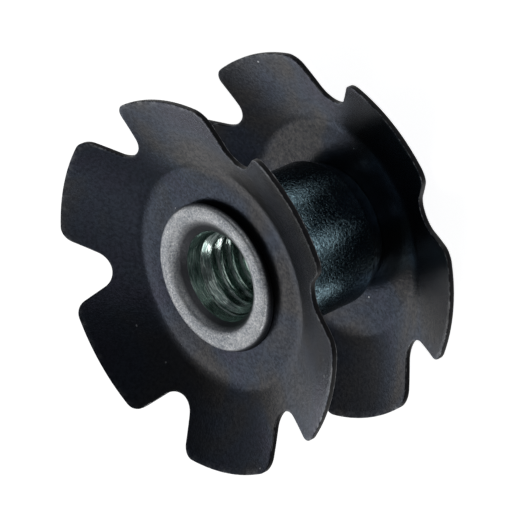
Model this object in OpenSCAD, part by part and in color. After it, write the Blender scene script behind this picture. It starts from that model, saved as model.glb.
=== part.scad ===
// Star-fangled nut for a threadless headset: a threaded barrel staked through two sprung star
// washers. It is driven down a steerer tube with its petals pointing up, and the preload bolt
// pulls against it. The origin is on the bore axis at the foot of the lower collar, +Z up.

/* [Star washers] */
// Diameter over the petal tips
star_d = 26.4; // [24:0.1:30]
// Number of petals on each star
petals = 6; // [5:1:7]
// Thickness of the spring steel sheet
sheet_t = 0.4; // [0.3:0.05:0.7]
// Diameter of the flat middle, where the bend of the petals starts
flat_d = 14.6; // [12:0.1:16]
// Radius of that bend, on its upper face
bend_r = 2.5; // [1:0.1:4]
// Rise of the petals where the bend ends, in degrees
bend_angle = 22; // [10:1:32]
// Radius of the slow upward curve of the petals
petal_curve_r = 47; // [25:1:90]
// Turn of the lower star against the upper one, in degrees
star_turn = 11.5; // [0:0.5:30]

/* [Notches] */
// Diameter of the circle that the notch floors touch
notch_floor_d = 20.1; // [18:0.1:22]
// Radius of a notch's round floor
notch_r = 1.45; // [0.8:0.05:1.8]
// Angle between the flanks of a notch, in degrees
notch_angle = 62; // [30:1:70]
// Radius of the petal corners
corner_r = 1.1; // [0.4:0.05:1.4]

/* [Barrel] */
// Outer diameter of the barrel
barrel_d = 10.5; // [9.6:0.1:12]
// Length of the barrel between the two stars
barrel_l = 10.7; // [7:0.1:16]
// Diameter of the face that seats against a star
seat_d = 9.2; // [8.2:0.1:9.4]
// Length of the tapered shoulder behind each seat
shoulder_l = 1.5; // [0.5:0.1:2.5]

/* [Staked ends] */
// Diameter of the neck that passes through a star
neck_d = 7.9; // [7:0.1:8.1]
// Radial gap between the neck and a star
neck_gap = 0.03; // [0.01:0.01:0.1]
// Diameter of the collar that is formed over a star
collar_d = 10.5; // [9.6:0.1:12]
// Height of a collar at its crown
collar_h = 0.7; // [0.4:0.05:1]
// Radius of the collar's crown, across the ring
crown_r = 2.2; // [1.5:0.1:6]
// Radius of the collar's outer corner
collar_corner_r = 0.3; // [0.1:0.02:0.36]

/* [Bore] */
// Diameter of the bore inside its thread, which is M6
bore_d = 5; // [4.5:0.05:5.2]
// Diameter of the countersunk mouths
mouth_d = 8.1; // [6:0.1:8.4]
// Angle between the two sides of a mouth, in degrees
mouth_angle = 90; // [60:5:120]

/* [Hidden] */
$fn = 128;

// How far a cutting shape reaches past what it cuts
reach = 1;
steel = "#3a3d44";
zinc = "#9aa3a8";

lower_star_z = collar_h;
lower_seat_z = lower_star_z + sheet_t;
upper_seat_z = lower_seat_z + barrel_l;
upper_collar_z = upper_seat_z + sheet_t;
overall_h = upper_collar_z + collar_h;

function along(angle) = [cos(angle), sin(angle)];

// Waste outside a rounded corner: a wedge between two directions, less the rounding circle
module corner_waste(centre, r, from_angle, to_angle) {
    far = 3 * r;
    translate(centre)
        difference() {
            polygon([
                [0, 0],
                far * along(from_angle),
                far * along((from_angle + to_angle) / 2),
                far * along(to_angle)
            ]);
            circle(r);
        }
}

// Space above one face of the dished sheet, in half section. The upper face is at drop = 0, and a
// face that lies lower by drop has its arcs about the same centres.
module space_above(drop) {
    flat_r = flat_d / 2;
    floor_z = sheet_t - drop;
    bend_centre = [flat_r, sheet_t + bend_r];
    curve_centre = bend_centre - (petal_curve_r - bend_r) * along(bend_angle - 90);
    difference() {
        intersection() {
            translate([0, floor_z])
                square(star_d / 2 + reach);
            translate(curve_centre)
                circle(petal_curve_r + drop);
        }
        corner_waste(bend_centre, bend_r + drop, -90, bend_angle - 90);
    }
}

// Half section of the dished sheet, before its outline is cut, standing on z = 0
module sheet_section() {
    difference() {
        space_above(sheet_t);
        space_above(0);
        square([neck_d / 2 + neck_gap, star_d]);
    }
}

// One notch in plan, pointing along +X: a round floor, straight flanks and rounded petal corners
module notch() {
    star_r = star_d / 2;
    half = notch_angle / 2;
    floor_x = notch_floor_d / 2 + notch_r;
    flank = along(half);
    across = along(half + 90);
    // The corner's centre lies corner_r inside both the flank and the rim
    start = [floor_x, 0] + (notch_r + corner_r) * across;
    rim_in = star_r - corner_r;
    run = -start * flank + sqrt(pow(start * flank, 2) - start * start + rim_in * rim_in);
    corner = start + run * flank;
    flank_start = [floor_x, 0] + notch_r * across;
    flank_end = flank_start + (star_r + reach) * flank;
    translate([floor_x, 0])
        circle(notch_r);
    polygon([
        [floor_x, 0],
        flank_start,
        flank_end,
        [flank_end[0], -flank_end[1]],
        [flank_start[0], -flank_start[1]]
    ]);
    for (side = [0, 1])
        mirror([0, side])
            corner_waste(corner, corner_r, half - 90, atan2(corner[1], corner[0]));
}

module star_outline() {
    difference() {
        circle(d = star_d);
        for (i = [0 : petals - 1])
            rotate(i * 360 / petals)
                notch();
    }
}

// A star washer: the dished sheet inside its outline, petals pointing up
module star() {
    intersection() {
        rotate_extrude()
            sheet_section();
        linear_extrude(star_d / 2)
            star_outline();
    }
}

// Half section of a collar from its underside up, with a crowned top and a rounded outer corner
module collar_section() {
    collar_r = collar_d / 2;
    ring_middle = (mouth_d / 2 + collar_r) / 2;
    crown_centre = [ring_middle, collar_h - crown_r];
    corner_x = collar_r - collar_corner_r;
    to_corner = acos((corner_x - ring_middle) / (crown_r - collar_corner_r));
    corner = crown_centre + (crown_r - collar_corner_r) * along(to_corner);
    difference() {
        square([collar_r, collar_h]);
        difference() {
            translate([0, collar_h / 4])
                square([collar_r + reach, collar_h]);
            translate(crown_centre)
                circle(crown_r);
            square([ring_middle, collar_h]);
        }
        corner_waste(corner, collar_corner_r, 0, to_corner);
    }
}

// Half section of one end of the barrel from mid-length up: shoulder, seat, neck and collar
module barrel_end_section() {
    barrel_r = barrel_d / 2;
    half_l = barrel_l / 2;
    half_h = half_l + sheet_t + collar_h;
    mouth_slope = tan(mouth_angle / 2);
    mouth_depth = (mouth_d - bore_d) / 2 / mouth_slope;
    difference() {
        union() {
            polygon([
                [0, 0],
                [barrel_r, 0],
                [barrel_r, half_l - shoulder_l],
                [seat_d / 2, half_l],
                [0, half_l]
            ]);
            square([neck_d / 2, half_h - collar_h]);
            translate([0, half_h - collar_h])
                collar_section();
        }
        translate([0, -reach])
            square([bore_d / 2, half_h + 2 * reach]);
        translate([0, half_h - mouth_depth])
            polygon([
                [0, 0],
                [bore_d / 2, 0],
                [mouth_d / 2 + reach * mouth_slope, mouth_depth + reach],
                [0, mouth_depth + reach]
            ]);
    }
}

// The barrel, turned from bar and staked over both stars
module threaded_barrel() {
    color(zinc)
        translate([0, 0, overall_h / 2])
            rotate_extrude()
                for (end = [0, 1])
                    mirror([0, end])
                        barrel_end_section();
}

module upper_star() {
    color(steel)
        translate([0, 0, upper_seat_z])
            star();
}

module lower_star() {
    color(steel)
        translate([0, 0, lower_star_z])
            rotate(star_turn)
                star();
}

threaded_barrel();
upper_star();
lower_star();
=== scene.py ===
"""Looks of a star-fangled nut: a zinc-plated threaded barrel staked through two sprung star washers.

Lengths are in millimetres, as in the part's source, and turn to metres when a mesh is made.
Heights are measured from the foot of the lower collar, along the bore axis.
"""

import math

import bpy
import numpy as np
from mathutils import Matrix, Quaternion, Vector


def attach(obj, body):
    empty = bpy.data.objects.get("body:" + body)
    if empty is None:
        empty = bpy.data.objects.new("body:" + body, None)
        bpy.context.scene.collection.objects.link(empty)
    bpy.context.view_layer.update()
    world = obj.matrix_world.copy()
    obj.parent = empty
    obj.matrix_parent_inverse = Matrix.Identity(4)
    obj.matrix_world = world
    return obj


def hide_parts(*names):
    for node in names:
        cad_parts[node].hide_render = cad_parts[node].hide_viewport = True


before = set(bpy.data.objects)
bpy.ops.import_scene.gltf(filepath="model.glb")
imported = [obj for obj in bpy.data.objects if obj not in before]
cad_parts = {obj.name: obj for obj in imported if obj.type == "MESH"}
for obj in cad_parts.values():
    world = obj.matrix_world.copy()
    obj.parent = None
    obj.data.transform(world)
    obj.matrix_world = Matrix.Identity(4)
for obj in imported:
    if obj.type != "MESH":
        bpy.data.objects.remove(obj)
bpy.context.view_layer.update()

MM = 0.001
SEED = 7

# Star washers
STAR_D = 26.4
PETALS = 6
SHEET_T = 0.4
FLAT_D = 14.6
BEND_R = 2.5
BEND_ANGLE = math.radians(22)
PETAL_CURVE_R = 47
STAR_TURN = math.radians(11.5)
STAR_BORE_R = 3.98
STAMPED_EDGE_R = 0.07
STAMPED_CREASE = math.radians(50)

# Staking coins a shallow dip into the face that a collar is formed against
COIN_DEPTH = 0.06
COIN_FLOOR_R = 5.1
COIN_RIM_R = 6.9

# Notches between the petals
NOTCH_FLOOR_D = 20.1
NOTCH_R = 1.45
NOTCH_ANGLE = math.radians(62)
CORNER_R = 1.1

# Barrel and its staked ends
BARREL_R = 5.25
BARREL_L = 10.7
SEAT_R = 4.6
SHOULDER_L = 1.5
SHOULDER_BLEND_R = 0.25
TURNED_CORNER_R = 0.08
NECK_R = 3.95
COLLAR_R = 5.25
COLLAR_H = 0.7
CROWN_R = 2.2
COLLAR_CORNER_R = 0.3
MOUTH_R = 4.05
MOUTH_BLEND_R = 0.8
BARREL_CREASE = math.radians(32)

# A punch stakes each collar a little off the axis: how far it pushes the rim and the mouth, and
# how far from round it leaves the rim
STAKED_RIM_SHIFT = (-0.1, -0.2)
STAKED_MOUTH_SHIFT = (-0.13, -0.38)
STAKED_OVALITY = 0.01

# Bore, tapped M6 x 1. The tap's first crest starts below the barrel.
THREAD_PITCH = 1.0
THREAD_ANGLE = math.radians(60)
THREAD_MINOR_R = 2.5
THREAD_MAJOR_R = 3.05
THREAD_START = -1.56

# The countersinks stop short of the thread, and its first turns are bored out wider
SINK_FOOT_R = 3.22
SINK_FOOT_BLEND_R = 0.12
LEAD_IN_R = 2.92
LEAD_IN_L = 1.05
LEAD_IN_TAPER_L = 0.5
LEAD_IN_BLEND_R = 0.3
LEAD_IN_CLEARANCE = 0.02

LOWER_STAR_Z = COLLAR_H
UPPER_STAR_Z = COLLAR_H + SHEET_T + BARREL_L
OVERALL_H = UPPER_STAR_Z + SHEET_T + COLLAR_H


def along(angle):
    """Direction in plan, as a pair of numbers."""
    return np.array([math.cos(angle), math.sin(angle)])


def arc(centre, radius, start, end, steps):
    """Points of an arc, both ends included."""
    return [np.array(centre) + radius * along(a) for a in np.linspace(start, end, steps + 1)]


def mesh_object(name, points, faces, materials):
    """A smooth-shaded object from points in millimetres."""
    mesh = bpy.data.meshes.new(name)
    mesh.from_pydata([Vector(p) * MM for p in points], [], faces)
    mesh.validate()
    for material in materials:
        mesh.materials.append(material)
    mesh.shade_smooth()
    thing = bpy.data.objects.new(name, mesh)
    bpy.context.collection.objects.link(thing)
    return thing


# ---------------------------------------------------------------------------------------------
# Materials
# ---------------------------------------------------------------------------------------------

# Sockets of a Mix node share their names, so they are called by their places
MIX_FLOAT_A = 2
MIX_FLOAT_B = 3
MIX_FLOAT_RESULT = 0
MIX_COLOUR_A = 6
MIX_COLOUR_B = 7
MIX_COLOUR_RESULT = 2


def srgb(code):
    """Linear RGBA of an sRGB hex colour."""
    channels = [int(code[i : i + 2], 16) / 255 for i in (1, 3, 5)]
    linear = [c / 12.92 if c <= 0.04045 else ((c + 0.055) / 1.055) ** 2.4 for c in channels]
    return (*linear, 1.0)


def add_node(tree, kind, inputs=None, **settings):
    """Adds a node. Each input is a value, or the output socket that feeds it."""
    node = tree.nodes.new(kind)
    for name, value in settings.items():
        setattr(node, name, value)
    for socket, value in (inputs or {}).items():
        if isinstance(value, bpy.types.NodeSocket):
            tree.links.new(value, node.inputs[socket])
        else:
            node.inputs[socket].default_value = value
    return node


def per_size(size_mm):
    """Texture scale that makes one grain as wide as the size in millimetres."""
    return 1 / (size_mm * MM)


def new_material(name):
    """An empty material and its node tree."""
    material = bpy.data.materials.new(name)
    material.use_nodes = True
    material.node_tree.nodes.clear()
    return material, material.node_tree


def tempered_oxide(tree, place, mottle):
    """Colour of the oxide: broad temper clouds, and grime in the low spots of the mottle."""
    oxide = srgb("#4a515d")
    brown_temper = srgb("#545353")
    violet_temper = srgb("#4b4d5b")
    grime = srgb("#2c2e35")
    cloud_mm = 7
    most_grime = 0.6

    cloud = add_node(
        tree,
        "ShaderNodeTexNoise",
        {"Vector": place, "Scale": per_size(cloud_mm), "Detail": 3, "Distortion": 0.6},
    )
    tone = add_node(tree, "ShaderNodeValToRGB", {"Fac": cloud.outputs["Fac"]})
    ramp = tone.color_ramp
    ramp.elements[0].position = 0.36
    ramp.elements[0].color = violet_temper
    ramp.elements[1].position = 0.61
    ramp.elements[1].color = brown_temper
    ramp.elements.new(0.47).color = oxide
    grime_depth = add_node(
        tree,
        "ShaderNodeMapRange",
        {"Value": mottle, "From Min": 0.4, "From Max": 0.62, "To Min": 0.0, "To Max": most_grime},
    )
    grimed = add_node(
        tree,
        "ShaderNodeMix",
        {
            "Factor": grime_depth.outputs["Result"],
            MIX_COLOUR_A: tone.outputs["Color"],
            MIX_COLOUR_B: grime,
        },
        data_type="RGBA",
    )
    return grimed.outputs[MIX_COLOUR_RESULT]


def dust_and_pinholes(tree, place, colour, bright):
    """Puts one small bright point in a few of the cells of a grid that has no rows."""
    cell_mm = 1.1
    share_left_bare = 0.72
    # Radius of the largest point, as a share of a cell
    largest_point = 0.075

    cells = add_node(tree, "ShaderNodeTexVoronoi", {"Vector": place, "Scale": per_size(cell_mm)})
    chance = add_node(tree, "ShaderNodeSeparateColor", {"Color": cells.outputs["Color"]})
    point_size = add_node(
        tree,
        "ShaderNodeMapRange",
        {
            "Value": chance.outputs["Red"],
            "From Min": share_left_bare,
            "From Max": 1.0,
            "To Min": 0.0,
            "To Max": largest_point,
        },
    )
    point = add_node(
        tree,
        "ShaderNodeMath",
        {0: cells.outputs["Distance"], 1: point_size.outputs["Result"]},
        operation="LESS_THAN",
    )
    specked = add_node(
        tree,
        "ShaderNodeMix",
        {"Factor": point.outputs["Value"], MIX_COLOUR_A: colour, MIX_COLOUR_B: bright},
        data_type="RGBA",
    )
    return specked.outputs[MIX_COLOUR_RESULT]


def rubbed_edges(tree, place, colour, bright):
    """Wears the stamped edges bright, in patches, where the star's mesh marks them. This is partly
    real wear and partly a painted glint along the edges.
    """
    patch_mm = 0.5

    edge = add_node(tree, "ShaderNodeAttribute", attribute_name="stamped_edge").outputs["Fac"]
    patch = add_node(
        tree,
        "ShaderNodeTexNoise",
        {"Vector": place, "Scale": per_size(patch_mm), "Detail": 4, "Roughness": 0.8},
    )
    worn = add_node(
        tree,
        "ShaderNodeMapRange",
        {"Value": patch.outputs["Fac"], "From Min": 0.46, "From Max": 0.66},
    )
    rub = add_node(
        tree,
        "ShaderNodeMath",
        {0: edge, 1: worn.outputs["Result"]},
        operation="MULTIPLY",
    )
    rubbed = add_node(
        tree,
        "ShaderNodeMix",
        {"Factor": rub.outputs["Value"], MIX_COLOUR_A: colour, MIX_COLOUR_B: bright},
        data_type="RGBA",
    )
    return rubbed.outputs[MIX_COLOUR_RESULT]


def strip_relief(tree, place):
    """Normal of the strip: slow waves from the dishing press, under the fine skin of the pickle."""
    wave_mm = 3.5
    wave_depth_mm = 0.03
    skin_mm = 0.14
    skin_depth_mm = 0.012

    wave = add_node(
        tree,
        "ShaderNodeTexNoise",
        {"Vector": place, "Scale": per_size(wave_mm), "Detail": 1},
    )
    waved = add_node(
        tree,
        "ShaderNodeBump",
        {"Strength": 1.0, "Distance": wave_depth_mm * MM, "Height": wave.outputs["Fac"]},
    )
    pickled = add_node(
        tree,
        "ShaderNodeTexNoise",
        {"Vector": place, "Scale": per_size(skin_mm), "Detail": 2, "Roughness": 0.6},
    )
    skin = add_node(
        tree,
        "ShaderNodeBump",
        {
            "Strength": 1.0,
            "Distance": skin_depth_mm * MM,
            "Height": pickled.outputs["Fac"],
            "Normal": waved.outputs["Normal"],
        },
    )
    return skin.outputs["Normal"]


def oil_blackened_spring_steel():
    """Hardened spring steel strip, rolled, stamped and blackened in hot oil.

    The oxide is a shallow dark skin on bright metal, so the eye sees a blue-black satin sheen with
    broad brown and violet temper clouds, a fine rolled mottle, and bright metal along the stamped
    edges, which is partly real wear and partly a painted glint. The cut walls tore open in the press,
    and are dark and matt. The real mottle and skin are too fine to show, and are drawn as coarse as
    they need to show.
    """
    # Bright steel: bare metal in the pinholes, and a painted glint where it lines the stamped edges
    rubbed_steel = srgb("#b6b8ba")
    sheared = srgb("#131315")
    mottle_mm = 0.24
    least_rough = 0.17
    most_rough = 0.27
    torn_rough = 0.55

    material, tree = new_material("oil_blackened_spring_steel")
    place = add_node(tree, "ShaderNodeTexCoord").outputs["Object"]
    wall = add_node(tree, "ShaderNodeAttribute", attribute_name="cut_wall").outputs["Fac"]
    mottle = add_node(
        tree,
        "ShaderNodeTexNoise",
        {"Vector": place, "Scale": per_size(mottle_mm), "Detail": 4, "Roughness": 0.65},
    ).outputs["Fac"]
    oxide = tempered_oxide(tree, place, mottle)
    specked = dust_and_pinholes(tree, place, oxide, rubbed_steel)
    torn = add_node(
        tree,
        "ShaderNodeMix",
        {"Factor": wall, MIX_COLOUR_A: specked, MIX_COLOUR_B: sheared},
        data_type="RGBA",
    )
    roughness = add_node(
        tree,
        "ShaderNodeMapRange",
        {
            "Value": mottle,
            "From Min": 0.3,
            "From Max": 0.7,
            "To Min": least_rough,
            "To Max": most_rough,
        },
    )
    torn_roughness = add_node(
        tree,
        "ShaderNodeMix",
        {"Factor": wall, MIX_FLOAT_A: roughness.outputs["Result"], MIX_FLOAT_B: torn_rough},
    )
    surface = add_node(
        tree,
        "ShaderNodeBsdfPrincipled",
        {
            "Base Color": rubbed_edges(tree, place, torn.outputs[MIX_COLOUR_RESULT], rubbed_steel),
            "Metallic": 1.0,
            "Roughness": torn_roughness.outputs[MIX_FLOAT_RESULT],
            "Normal": strip_relief(tree, place),
        },
    )
    add_node(tree, "ShaderNodeOutputMaterial", {"Surface": surface.outputs["BSDF"]})
    return material


def thinned_plate(tree, place, plate, thin):
    """Darkens the plate below the face of a collar, in its mouth and down its outer side, as painted
    shade that deepens down to a given depth.
    """
    full_depth_mm = 0.08
    thin_depth_mm = 0.5

    middle = OVERALL_H / 2 * MM
    height = add_node(tree, "ShaderNodeSeparateXYZ", {"Vector": place}).outputs["Z"]
    above = add_node(tree, "ShaderNodeMath", {0: height, 1: middle}, operation="SUBTRACT")
    from_middle = add_node(tree, "ShaderNodeMath", {0: above.outputs["Value"]}, operation="ABSOLUTE")
    thinning = add_node(
        tree,
        "ShaderNodeMapRange",
        {
            "Value": from_middle.outputs["Value"],
            "From Min": middle - full_depth_mm * MM,
            "From Max": middle - thin_depth_mm * MM,
        },
    )
    thinned = add_node(
        tree,
        "ShaderNodeMix",
        {"Factor": thinning.outputs["Result"], MIX_COLOUR_A: plate, MIX_COLOUR_B: thin},
        data_type="RGBA",
    )
    return thinned.outputs[MIX_COLOUR_RESULT]


def passivated_zinc(name, light, dark, grain_mm, lay, grain_depth_mm, roughness, thin=None):
    """Zinc electroplate on steel, passivated clear to blue.

    The plate is bright metal grown in fine crystals. The eye sees a cool grey with a blue-green
    cast in its slight passivation film, and sparkle where the crystals face the light. The real
    crystals are too fine to show, and the grain is drawn as coarse as it needs to show.

    Light and dark are the colours that the grain and the film run between. Lay is how many times
    longer the grain runs round the axis than along it, as a cutting tool leaves it. Roughness is
    the least and the most. The last argument, if given, is a darker colour painted in as shade
    below the faces of the collars.
    """
    film_mm = 10 * grain_mm
    grain_share = 0.7
    low, high = 0.35, 0.65

    material, tree = new_material(name)
    place = add_node(tree, "ShaderNodeTexCoord").outputs["Object"]
    laid = add_node(tree, "ShaderNodeMapping", {"Vector": place, "Scale": (1 / lay, 1 / lay, 1)})
    grain = add_node(
        tree,
        "ShaderNodeTexNoise",
        {
            "Vector": laid.outputs["Vector"],
            "Scale": per_size(grain_mm),
            "Detail": 2,
            "Roughness": 0.6,
            "Distortion": 0.8,
        },
    )
    film = add_node(
        tree,
        "ShaderNodeTexNoise",
        {"Vector": place, "Scale": per_size(film_mm), "Detail": 3},
    )
    film_depth = add_node(
        tree,
        "ShaderNodeMapRange",
        {"Value": film.outputs["Fac"], "From Min": low, "From Max": high},
    )
    grain_tone = add_node(
        tree,
        "ShaderNodeMapRange",
        {"Value": grain.outputs["Fac"], "From Min": low, "From Max": high},
    )
    darkness = add_node(
        tree,
        "ShaderNodeMix",
        {
            "Factor": grain_share,
            MIX_FLOAT_A: film_depth.outputs["Result"],
            MIX_FLOAT_B: grain_tone.outputs["Result"],
        },
    )
    colour = add_node(
        tree,
        "ShaderNodeMix",
        {"Factor": darkness.outputs[MIX_FLOAT_RESULT], MIX_COLOUR_A: light, MIX_COLOUR_B: dark},
        data_type="RGBA",
    )
    plate = colour.outputs[MIX_COLOUR_RESULT]
    # Painted shade below the faces of the collars, when a darker colour is given
    if thin:
        plate = thinned_plate(tree, place, plate, thin)
    gloss = add_node(
        tree,
        "ShaderNodeMapRange",
        {
            "Value": grain.outputs["Fac"],
            "From Min": low,
            "From Max": high,
            "To Min": roughness[0],
            "To Max": roughness[1],
        },
    )
    crystals = add_node(
        tree,
        "ShaderNodeBump",
        {"Strength": 1.0, "Distance": grain_depth_mm * MM, "Height": grain.outputs["Fac"]},
    )
    surface = add_node(
        tree,
        "ShaderNodeBsdfPrincipled",
        {
            "Base Color": plate,
            "Metallic": 1.0,
            "Roughness": gloss.outputs["Result"],
            "Normal": crystals.outputs["Normal"],
        },
    )
    add_node(tree, "ShaderNodeOutputMaterial", {"Surface": surface.outputs["BSDF"]})
    return material


def zinc_plated_barrel():
    """Plate on the drawn skin of the bar. The eye sees a deep blue-green with a broken sparkle."""
    return passivated_zinc(
        "zinc_plated_barrel",
        light=srgb("#92b0bb"),
        dark=srgb("#112633"),
        grain_mm=0.16,
        lay=1.3,
        grain_depth_mm=0.036,
        roughness=(0.17, 0.34),
    )


def turned_zinc_shoulder():
    """Plate on faces cut in the lathe. The eye sees them paler, with the fine lay of the tool."""
    return passivated_zinc(
        "turned_zinc_shoulder",
        light=srgb("#b4c6cc"),
        dark=srgb("#6d828e"),
        grain_mm=0.2,
        lay=4,
        grain_depth_mm=0.02,
        roughness=(0.12, 0.24),
    )


def staked_zinc_collar():
    """Plate crushed by the staking punch. The eye sees a pale frosted ring. Its mouth and outer side
    are darkened with painted shade.
    """
    return passivated_zinc(
        "staked_zinc_collar",
        light=srgb("#ffffff"),
        dark=srgb("#98a0aa"),
        grain_mm=0.12,
        lay=1,
        grain_depth_mm=0.04,
        roughness=(0.3, 0.42),
        # The darker colour is painted shade in the collar's mouth and down its outer side
        thin=srgb("#5c5d61"),
    )


def tapped_zinc_thread():
    """Plate on tapped flanks. The eye sees green film and bright streaks that follow the tap."""
    return passivated_zinc(
        "tapped_zinc_thread",
        light=srgb("#e2f0ea"),
        dark=srgb("#63807a"),
        grain_mm=0.1,
        lay=10,
        grain_depth_mm=0.03,
        roughness=(0.1, 0.2),
    )


# ---------------------------------------------------------------------------------------------
# Star washers
# ---------------------------------------------------------------------------------------------


def face_height(radius, drop):
    """Height of the sheet's face above the star's underside. The upper face has drop 0."""
    bend_centre = np.array([FLAT_D / 2, SHEET_T + BEND_R])
    curve_centre = bend_centre - (PETAL_CURVE_R - BEND_R) * along(BEND_ANGLE - math.pi / 2)
    bend_end = bend_centre[0] + (BEND_R + drop) * math.sin(BEND_ANGLE)
    if radius <= bend_centre[0]:
        return SHEET_T - drop
    if radius <= bend_end:
        return bend_centre[1] - math.sqrt((BEND_R + drop) ** 2 - (radius - bend_centre[0]) ** 2)
    return curve_centre[1] - math.sqrt((PETAL_CURVE_R + drop) ** 2 - (radius - curve_centre[0]) ** 2)


def half_petal():
    """Outline from the middle of a notch to the middle of the next petal, with outward normals."""
    half = NOTCH_ANGLE / 2
    floor_centre = np.array([NOTCH_FLOOR_D / 2 + NOTCH_R, 0])
    flank = along(half)
    across = along(half + math.pi / 2)
    start = floor_centre + (NOTCH_R + CORNER_R) * across
    rim_in = STAR_D / 2 - CORNER_R
    run = -start @ flank + math.sqrt((start @ flank) ** 2 - start @ start + rim_in**2)
    corner = start + run * flank
    rim_start = math.atan2(corner[1], corner[0])
    petal_middle = math.pi / PETALS
    round_steps = 9
    side_steps = 5
    rim_steps = 8
    floor = arc(floor_centre, NOTCH_R, math.pi, half + math.pi / 2, round_steps)
    side = [floor[-1] + step * run * flank for step in np.linspace(0, 1, side_steps + 1)[1:]]
    round_off = arc(corner, CORNER_R, half - math.pi / 2, rim_start, round_steps)[1:]
    rim = arc((0, 0), STAR_D / 2, rim_start, petal_middle, rim_steps)[1:]
    normals = (
        [(floor_centre - p) / NOTCH_R for p in floor]
        + [-across for _ in side]
        + [(p - corner) / CORNER_R for p in round_off]
        + [p / np.linalg.norm(p) for p in rim]
    )
    return floor + side + round_off + rim, normals


def star_outline():
    """Closed outline of the star with its outward normals, counter-clockwise by petals."""
    points, normals = half_petal()
    flip = np.array([1, -1])
    points = [p * flip for p in points[:0:-1]] + points[:-1]
    normals = [n * flip for n in normals[:0:-1]] + normals[:-1]
    outline = []
    for petal in range(PETALS):
        c, s = along(petal * 2 * math.pi / PETALS)
        turn = np.array([[c, -s], [s, c]])
        outline += [(turn @ p, turn @ n) for p, n in zip(points, normals)]
    return outline


def coined(radius):
    """How deep the coined dip is at a radius. Its side is an S curve."""
    step = np.interp(radius, (COIN_FLOOR_R, COIN_RIM_R), (1, 0))
    return COIN_DEPTH * step**2 * (3 - 2 * step)


def star_washer(name, foot_z, turn, collar_side, material):
    """A dished and notched spring washer with the soft edges of a stamping.

    The collar side is 1 where the collar lies on the upper face, or -1 on the lower one.
    """
    outline = star_outline()
    flat_r = FLAT_D / 2
    bend_out = flat_r + (BEND_R + SHEET_T) * math.sin(BEND_ANGLE)
    under_collar_r = 4.4
    coin_radii = np.linspace(COIN_FLOOR_R, COIN_RIM_R, 9)
    bend_radii = np.linspace(flat_r, bend_out, 10)
    inner_radii = [STAR_BORE_R, under_collar_r, *coin_radii, *bend_radii]
    petal_steps = np.linspace(0, 1, 13)[1:-1]
    round_angles = np.linspace(0, math.pi / 2, 5)

    def petal_row(step, drop):
        """One row of a face, a step of the way from the bend to the rounded edge."""
        spots = []
        for p, n in outline:
            root = bend_out * p / np.linalg.norm(p)
            spots.append(root + step * (p - STAMPED_EDGE_R * n - root))
        return [(x, y, face_height(math.hypot(x, y), drop)) for x, y in spots]

    def edge_row(angle, drop, side):
        """One row of a rounded edge. Angle 0 lies on the face, a right angle on the cut wall."""
        inset = STAMPED_EDGE_R * (1 - math.sin(angle))
        sink = STAMPED_EDGE_R * (1 - math.cos(angle))
        spots = [p - inset * n for p, n in outline]
        return [(x, y, face_height(math.hypot(x, y), drop) - side * sink) for x, y in spots]

    def inner_row(radius, drop, side):
        """One ring of a face inside the petals. Side is 1 on the upper face, -1 on the lower."""
        dip = coined(radius) if side == collar_side else 0
        ring = [radius * p / np.linalg.norm(p) for p, _ in outline]
        return [(x, y, face_height(radius, drop) - side * dip) for x, y in ring]

    upper_face = [inner_row(radius, 0, 1) for radius in inner_radii]
    upper_face += [petal_row(step, 0) for step in petal_steps]
    edge = [edge_row(angle, 0, 1) for angle in round_angles]
    edge += [edge_row(angle, SHEET_T, -1) for angle in round_angles[::-1]]
    lower_face = [petal_row(step, SHEET_T) for step in petal_steps[::-1]]
    lower_face += [inner_row(radius, SHEET_T, -1) for radius in inner_radii[::-1]]
    rows = upper_face + edge + lower_face

    count = len(outline)
    points = [p for row in rows for p in row]
    faces = []
    for r in range(len(rows)):
        below, above = r * count, (r + 1) % len(rows) * count
        for i in range(count):
            j = (i + 1) % count
            faces.append((below + i, above + i, above + j, below + j))
    c, s = along(turn)
    points = [(c * x - s * y, s * x + c * y, z + foot_z) for x, y, z in points]
    star = mesh_object(name, points, faces, [material])
    # Wear, and the glint painted with it, is strongest half way round an edge, and reaches a little
    # way onto the face
    edge_angles = [*round_angles, *round_angles[::-1]]
    marks = {
        "stamped_edge": [0.4 * math.cos(a) + 0.6 * math.sin(2 * a) for a in edge_angles],
        "cut_wall": [math.sin(a) ** 2 for a in edge_angles],
    }
    for mark, values in marks.items():
        weights = [0] * len(upper_face) + values + [0] * len(lower_face)
        layer = star.data.attributes.new(mark, "FLOAT", "POINT")
        layer.data.foreach_set("value", [weight for weight in weights for _ in range(count)])
    star.data.set_sharp_from_angle(angle=STAMPED_CREASE)
    return star


# ---------------------------------------------------------------------------------------------
# Barrel
# ---------------------------------------------------------------------------------------------


def rounded(before, corner, after, radius, steps):
    """Arc of a radius that rounds a corner between two straight runs."""
    before, corner, after = map(np.array, (before, corner, after))
    one = (before - corner) / np.linalg.norm(before - corner)
    two = (after - corner) / np.linalg.norm(after - corner)
    half = math.acos(one @ two) / 2
    middle = (one + two) / np.linalg.norm(one + two)
    centre = corner + middle * radius / math.sin(half)
    start = corner + one * radius / math.tan(half) - centre
    end = corner + two * radius / math.tan(half) - centre
    first = math.atan2(start[1], start[0])
    turn = (math.atan2(end[1], end[0]) - first + math.pi) % (2 * math.pi) - math.pi
    return arc(centre, radius, first, first + turn, steps)


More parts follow.
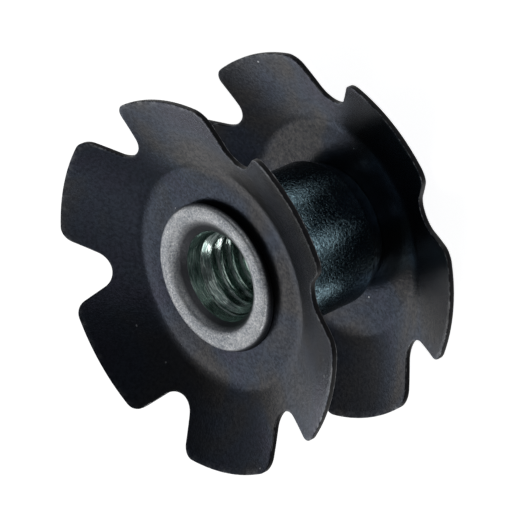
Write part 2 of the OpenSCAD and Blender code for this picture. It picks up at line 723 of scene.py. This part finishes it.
def barrel_end_section():
    """Half section of one end from mid-length, out over the collar and into the mouth.

    Each point is its radius, its height above mid-length and its finish, which is the place of
    its material in the barrel's list.
    """
    half_l = BARREL_L / 2
    half_h = OVERALL_H / 2
    underside = half_h - COLLAR_H - COIN_DEPTH
    shoulder = (BARREL_R, half_l - SHOULDER_L)
    seat = (SEAT_R, half_l)
    ring_middle = (MOUTH_R + COLLAR_R) / 2
    crown_centre = np.array([ring_middle, half_h - CROWN_R])
    corner_x = COLLAR_R - COLLAR_CORNER_R
    to_corner = math.acos((corner_x - ring_middle) / (CROWN_R - COLLAR_CORNER_R))
    corner = crown_centre + (CROWN_R - COLLAR_CORNER_R) * along(to_corner)
    crown = arc(crown_centre, CROWN_R, to_corner, math.pi / 2, steps=5)
    inner_edge = (MOUTH_R, half_h)
    neck_top = (NECK_R, underside)
    collar_foot = (COLLAR_R, underside)
    # The sides of a countersink stand at a right angle, so each is as deep as it is wide
    sink_foot = (SINK_FOOT_R, half_h - (MOUTH_R - SINK_FOOT_R))
    lead_foot = (LEAD_IN_R, sink_foot[1] - LEAD_IN_L)
    crest_start = (THREAD_MINOR_R - LEAD_IN_CLEARANCE, lead_foot[1] - LEAD_IN_TAPER_L)
    mouth = rounded(crown[-1], inner_edge, sink_foot, MOUTH_BLEND_R, steps=8)
    sink_blend = rounded(inner_edge, sink_foot, lead_foot, SINK_FOOT_BLEND_R, steps=3)
    middle = (BARREL_R, 0)
    drawn_skin = [middle, *rounded(middle, shoulder, seat, SHOULDER_BLEND_R, steps=4)]
    turned = [
        *rounded(shoulder, seat, (NECK_R, half_l), TURNED_CORNER_R, steps=3),
        (NECK_R, half_l),
        neck_top,
    ]
    collar = [
        *rounded(neck_top, collar_foot, (COLLAR_R, half_h), TURNED_CORNER_R, steps=3),
        *arc(corner, COLLAR_CORNER_R, 0, to_corner, steps=5),
        *crown[1:],
        *mouth,
        *sink_blend[:2],
    ]
    lead_in = [
        *sink_blend[2:],
        *rounded(sink_foot, lead_foot, crest_start, LEAD_IN_BLEND_R, steps=4),
        crest_start,
    ]
    stretches = (drawn_skin, turned, collar, lead_in)
    return [(r, z, finish) for finish, stretch in enumerate(stretches) for r, z in stretch]


def staked(r, z, angle, lobes):
    """Where a point of the section lands in plan once the punch has spread the collar.

    Each lobe of the rim is how many times it swells in a turn, and its phase.
    """
    above_star = abs(z) - (OVERALL_H / 2 - COLLAR_H)
    radii = (LEAD_IN_R, MOUTH_R, COLLAR_R)
    if r > NECK_R:
        rise = np.interp(above_star, (0, COLLAR_H / 2), (0, 1))
    else:
        rise = np.interp(above_star, (-COLLAR_H, 0), (0, 1))
    shift = [
        np.interp(r, radii, (0, mouth, rim)) * rise
        for mouth, rim in zip(STAKED_MOUTH_SHIFT, STAKED_RIM_SHIFT)
    ]
    swell = sum(STAKED_OVALITY / n * math.cos(n * angle + phase) for n, phase in lobes)
    return (r + rise * np.interp(r, radii, (0, 0, swell))) * along(angle) + shift


def turned_body(materials):
    """The barrel before it is tapped: one closed section turned about the axis."""
    around = 160
    end = barrel_end_section()
    section = [(r, -z, finish) for r, z, finish in end[::-1]] + end[1:]
    rng = np.random.default_rng(SEED)
    swells_in_a_turn = (2, 3, 5)
    lobes = [(n, rng.uniform(0, 2 * math.pi)) for n in swells_in_a_turn]
    points = []
    for i in range(around):
        angle = i * 2 * math.pi / around
        for r, z, _ in section:
            points.append((*staked(r, z, angle, lobes), z + OVERALL_H / 2))
    count = len(section)
    faces = []
    finishes = []
    for i in range(around):
        here, there = i * count, (i + 1) % around * count
        for k in range(count):
            n = (k + 1) % count
            faces.append((here + k, there + k, there + n, here + n))
            finishes.append(max(section[k][2], section[n][2]))
    body = mesh_object("threaded_barrel_plated", points, faces, materials)
    body.data.polygons.foreach_set("material_index", finishes)
    return body


def thread_profile():
    """Heights and radii along one pitch: a narrow crest, a flank, a round root and a flank."""
    depth = THREAD_MAJOR_R - THREAD_MINOR_R
    crest = THREAD_PITCH / 4
    flank = depth * math.tan(THREAD_ANGLE / 2)
    root_start = crest + flank
    root = THREAD_PITCH - crest - 2 * flank
    soft = 0.03
    # Two points on a flank, each as its share of the flank's height and of the thread's depth
    flank_points = ((0.35, 0.33), (0.7, 0.68))
    flank_out = [(crest + flank * h, THREAD_MINOR_R + depth * d) for h, d in flank_points]
    flank_in = [(THREAD_PITCH - flank * h, THREAD_MINOR_R + depth * d) for h, d in flank_points[::-1]]
    return [
        (0, THREAD_MINOR_R + soft / 2),
        (soft, THREAD_MINOR_R),
        (crest - soft, THREAD_MINOR_R),
        (crest, THREAD_MINOR_R + soft / 2),
        *flank_out,
        (root_start, THREAD_MAJOR_R - soft),
        (root_start + root / 3, THREAD_MAJOR_R),
        (root_start + 2 * root / 3, THREAD_MAJOR_R),
        (root_start + root, THREAD_MAJOR_R - soft),
        *flank_in,
    ]


def tap(materials):
    """The solid that a tap sweeps out: a helical thread that runs past both ends of the barrel."""
    around = 112
    spare_turns = 3
    profile = thread_profile()
    per_turn = len(profile)
    turns = math.ceil((OVERALL_H + spare_turns * THREAD_PITCH) / THREAD_PITCH)
    high = turns * per_turn + 1
    points = []
    for i in range(around):
        rise = THREAD_PITCH * i / around
        for j in range(high):
            z, r = profile[j % per_turn]
            z += THREAD_START + rise + j // per_turn * THREAD_PITCH
            points.append((*(r * along(2 * math.pi * i / around)), z))
    faces = []
    for i in range(around - 1):
        for j in range(high - 1):
            a = i * high + j
            faces.append((a, a + high, a + high + 1, a + 1))
    last = (around - 1) * high
    for j in range(high - 1 - per_turn):
        faces.append((last + j, j + per_turn, j + per_turn + 1, last + j + 1))
    # Each open end is a turn of the helix and the step between its ends. It closes in a cone
    # whose hub lies on the axis, a pitch beyond the end.
    foot_loop = [i * high for i in range(around)] + list(range(per_turn, 0, -1))
    head_loop = [i * high + high - 1 for i in range(around)]
    head_loop += [last + high - 1 - k for k in range(1, per_turn + 1)]
    foot_hub = len(points)
    points.append((0, 0, THREAD_START - THREAD_PITCH))
    head_hub = len(points)
    points.append((0, 0, THREAD_START + (turns + 2) * THREAD_PITCH))
    for loop, hub, flip in ((foot_loop, foot_hub, True), (head_loop, head_hub, False)):
        for a, b in zip(loop, loop[1:] + loop[:1]):
            faces.append((b, a, hub) if flip else (a, b, hub))
    return mesh_object("tap", points, faces, materials)


def tapped_barrel(materials):
    """The turned and staked body with its bore tapped from end to end, in the last material."""
    body = turned_body(materials)
    cutter = tap(materials)
    for polygon in cutter.data.polygons:
        polygon.material_index = len(materials) - 1
    cut = body.modifiers.new("tapping", "BOOLEAN")
    cut.operation = "DIFFERENCE"
    cut.solver = "EXACT"
    cut.object = cutter
    graph = bpy.context.evaluated_depsgraph_get()
    tapped = bpy.data.meshes.new_from_object(body.evaluated_get(graph))
    body.modifiers.clear()
    body.data = tapped
    bpy.data.objects.remove(cutter)
    tapped.shade_smooth()
    tapped.set_sharp_from_angle(angle=BARREL_CREASE)
    return body


# ---------------------------------------------------------------------------------------------
# Studio
# ---------------------------------------------------------------------------------------------


def white_studio_floor():
    """Matt white paper. It glows for the camera and for reflections by what its light leaves
    short of white, so it reads as a white sweep and keeps the soft shadow of the part."""
    paper = srgb("#f2f2f0")
    glow = 0.9
    material, tree = new_material("white_studio_floor")
    rays = add_node(tree, "ShaderNodeLightPath").outputs
    seen = add_node(
        tree,
        "ShaderNodeMath",
        {0: rays["Is Camera Ray"], 1: rays["Is Glossy Ray"]},
        operation="MAXIMUM",
    )
    seen = add_node(
        tree,
        "ShaderNodeMath",
        {0: seen.outputs["Value"], 1: rays["Is Transmission Ray"]},
        operation="MAXIMUM",
    )
    strength = add_node(
        tree,
        "ShaderNodeMath",
        {0: seen.outputs["Value"], 1: glow},
        operation="MULTIPLY",
    )
    lit = add_node(tree, "ShaderNodeBsdfDiffuse", {"Color": paper})
    glowing = add_node(tree, "ShaderNodeEmission", {"Strength": strength.outputs["Value"]})
    both = add_node(
        tree,
        "ShaderNodeAddShader",
        {0: lit.outputs["BSDF"], 1: glowing.outputs["Emission"]},
    )
    add_node(tree, "ShaderNodeOutputMaterial", {"Surface": both.outputs["Shader"]})
    return material


def studio_floor():
    """A floor wide enough to fill any view."""
    half = 2000
    corners = [(-half, -half, 0), (half, -half, 0), (half, half, 0), (-half, half, 0)]
    floor = mesh_object("studio_floor", corners, [(0, 1, 2, 3)], [white_studio_floor()])


def direction(azimuth, elevation):
    """Unit vector. Azimuth is measured from +X towards +Y, both angles in degrees."""
    a, e = math.radians(azimuth), math.radians(elevation)
    return Vector((math.cos(e) * math.cos(a), math.cos(e) * math.sin(a), math.sin(e)))


def softbox(name, azimuth, elevation, width, height, radiance):
    """A rectangular soft light, sized in metres, facing the part. Radiance 1 mirrors as white."""
    distance = 0.6
    lamp = bpy.data.lights.new(name, "AREA")
    lamp.shape = "RECTANGLE"
    lamp.size = width
    lamp.size_y = height
    lamp.energy = radiance * math.pi * width * height
    thing = bpy.data.objects.new(name, lamp)
    away = direction(azimuth, elevation)
    thing.location = away * distance
    thing.rotation_euler = away.to_track_quat("Z", "Y").to_euler()
    thing.visible_camera = False
    bpy.context.collection.objects.link(thing)


def dim_room(wall_level, ceiling_level):
    """The unlit studio around the softboxes: pale walls that fade into a dark ceiling."""
    wall_top = 0.3
    ceiling_edge = 0.8
    world = bpy.data.worlds.new("dim_room")
    world.use_nodes = True
    world.node_tree.nodes.clear()
    tree = world.node_tree
    away = add_node(tree, "ShaderNodeTexCoord").outputs["Generated"]
    height = add_node(tree, "ShaderNodeSeparateXYZ", {"Vector": away}).outputs["Z"]
    level = add_node(
        tree,
        "ShaderNodeMapRange",
        {
            "Value": height,
            "From Min": wall_top,
            "From Max": ceiling_edge,
            "To Min": wall_level,
            "To Max": ceiling_level,
        },
    )
    room = add_node(
        tree,
        "ShaderNodeBackground",
        {"Color": srgb("#e8ecf2"), "Strength": level.outputs["Result"]},
    )
    add_node(tree, "ShaderNodeOutputWorld", {"Surface": room.outputs["Background"]})
    bpy.context.scene.world = world


def studio_camera():
    """A long lens, rolled well over, so that the bore axis points out of the frame to the left."""
    aim = Vector((0.371, 0.439, 7.782)) * MM
    back = direction(azimuth=-158.921, elevation=38.570)
    distance = 239.27 * MM
    roll = math.radians(-114.114)
    camera = bpy.data.objects.new("studio_camera", bpy.data.cameras.new("studio_camera"))
    camera.data.sensor_width = 36
    camera.data.lens = 240.46
    camera.data.clip_start = 0.01
    camera.data.clip_end = 10
    camera.location = aim + back * distance
    camera.rotation_mode = "QUATERNION"
    camera.rotation_quaternion = back.to_track_quat("Z", "Y") @ Quaternion((0, 0, 1), roll)
    bpy.context.collection.objects.link(camera)
    bpy.context.scene.camera = camera


studio_camera()

spring_steel = oil_blackened_spring_steel()
upper_star = star_washer(
    "upper_star_stamped",
    foot_z=UPPER_STAR_Z,
    turn=0,
    collar_side=1,
    material=spring_steel,
)
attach(upper_star, "root")
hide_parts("upper_star")

lower_star = star_washer(
    "lower_star_stamped",
    foot_z=LOWER_STAR_Z,
    turn=STAR_TURN,
    collar_side=-1,
    material=spring_steel,
)
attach(lower_star, "root")
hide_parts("lower_star")

barrel = tapped_barrel([
    zinc_plated_barrel(),
    turned_zinc_shoulder(),
    staked_zinc_collar(),
    tapped_zinc_thread(),
])
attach(barrel, "root")
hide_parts("threaded_barrel")

studio_floor()
dim_room(wall_level=0.15, ceiling_level=0.07)
softbox("back_softbox", azimuth=22, elevation=14, width=0.66, height=0.31, radiance=0.62)
softbox("high_back_softbox", azimuth=17, elevation=36, width=0.32, height=0.19, radiance=0.7)
softbox("wide_back_softbox", azimuth=35, elevation=32, width=1.3, height=0.8, radiance=0.13)
softbox("side_softbox", azimuth=75, elevation=62, width=0.34, height=0.42, radiance=0.2)
softbox("strip_softbox", azimuth=100, elevation=42, width=0.2, height=0.2, radiance=2.2)
softbox("low_fill", azimuth=225, elevation=26, width=1.2, height=0.5, radiance=0.25)

bpy.context.scene.view_settings.view_transform = "Standard"
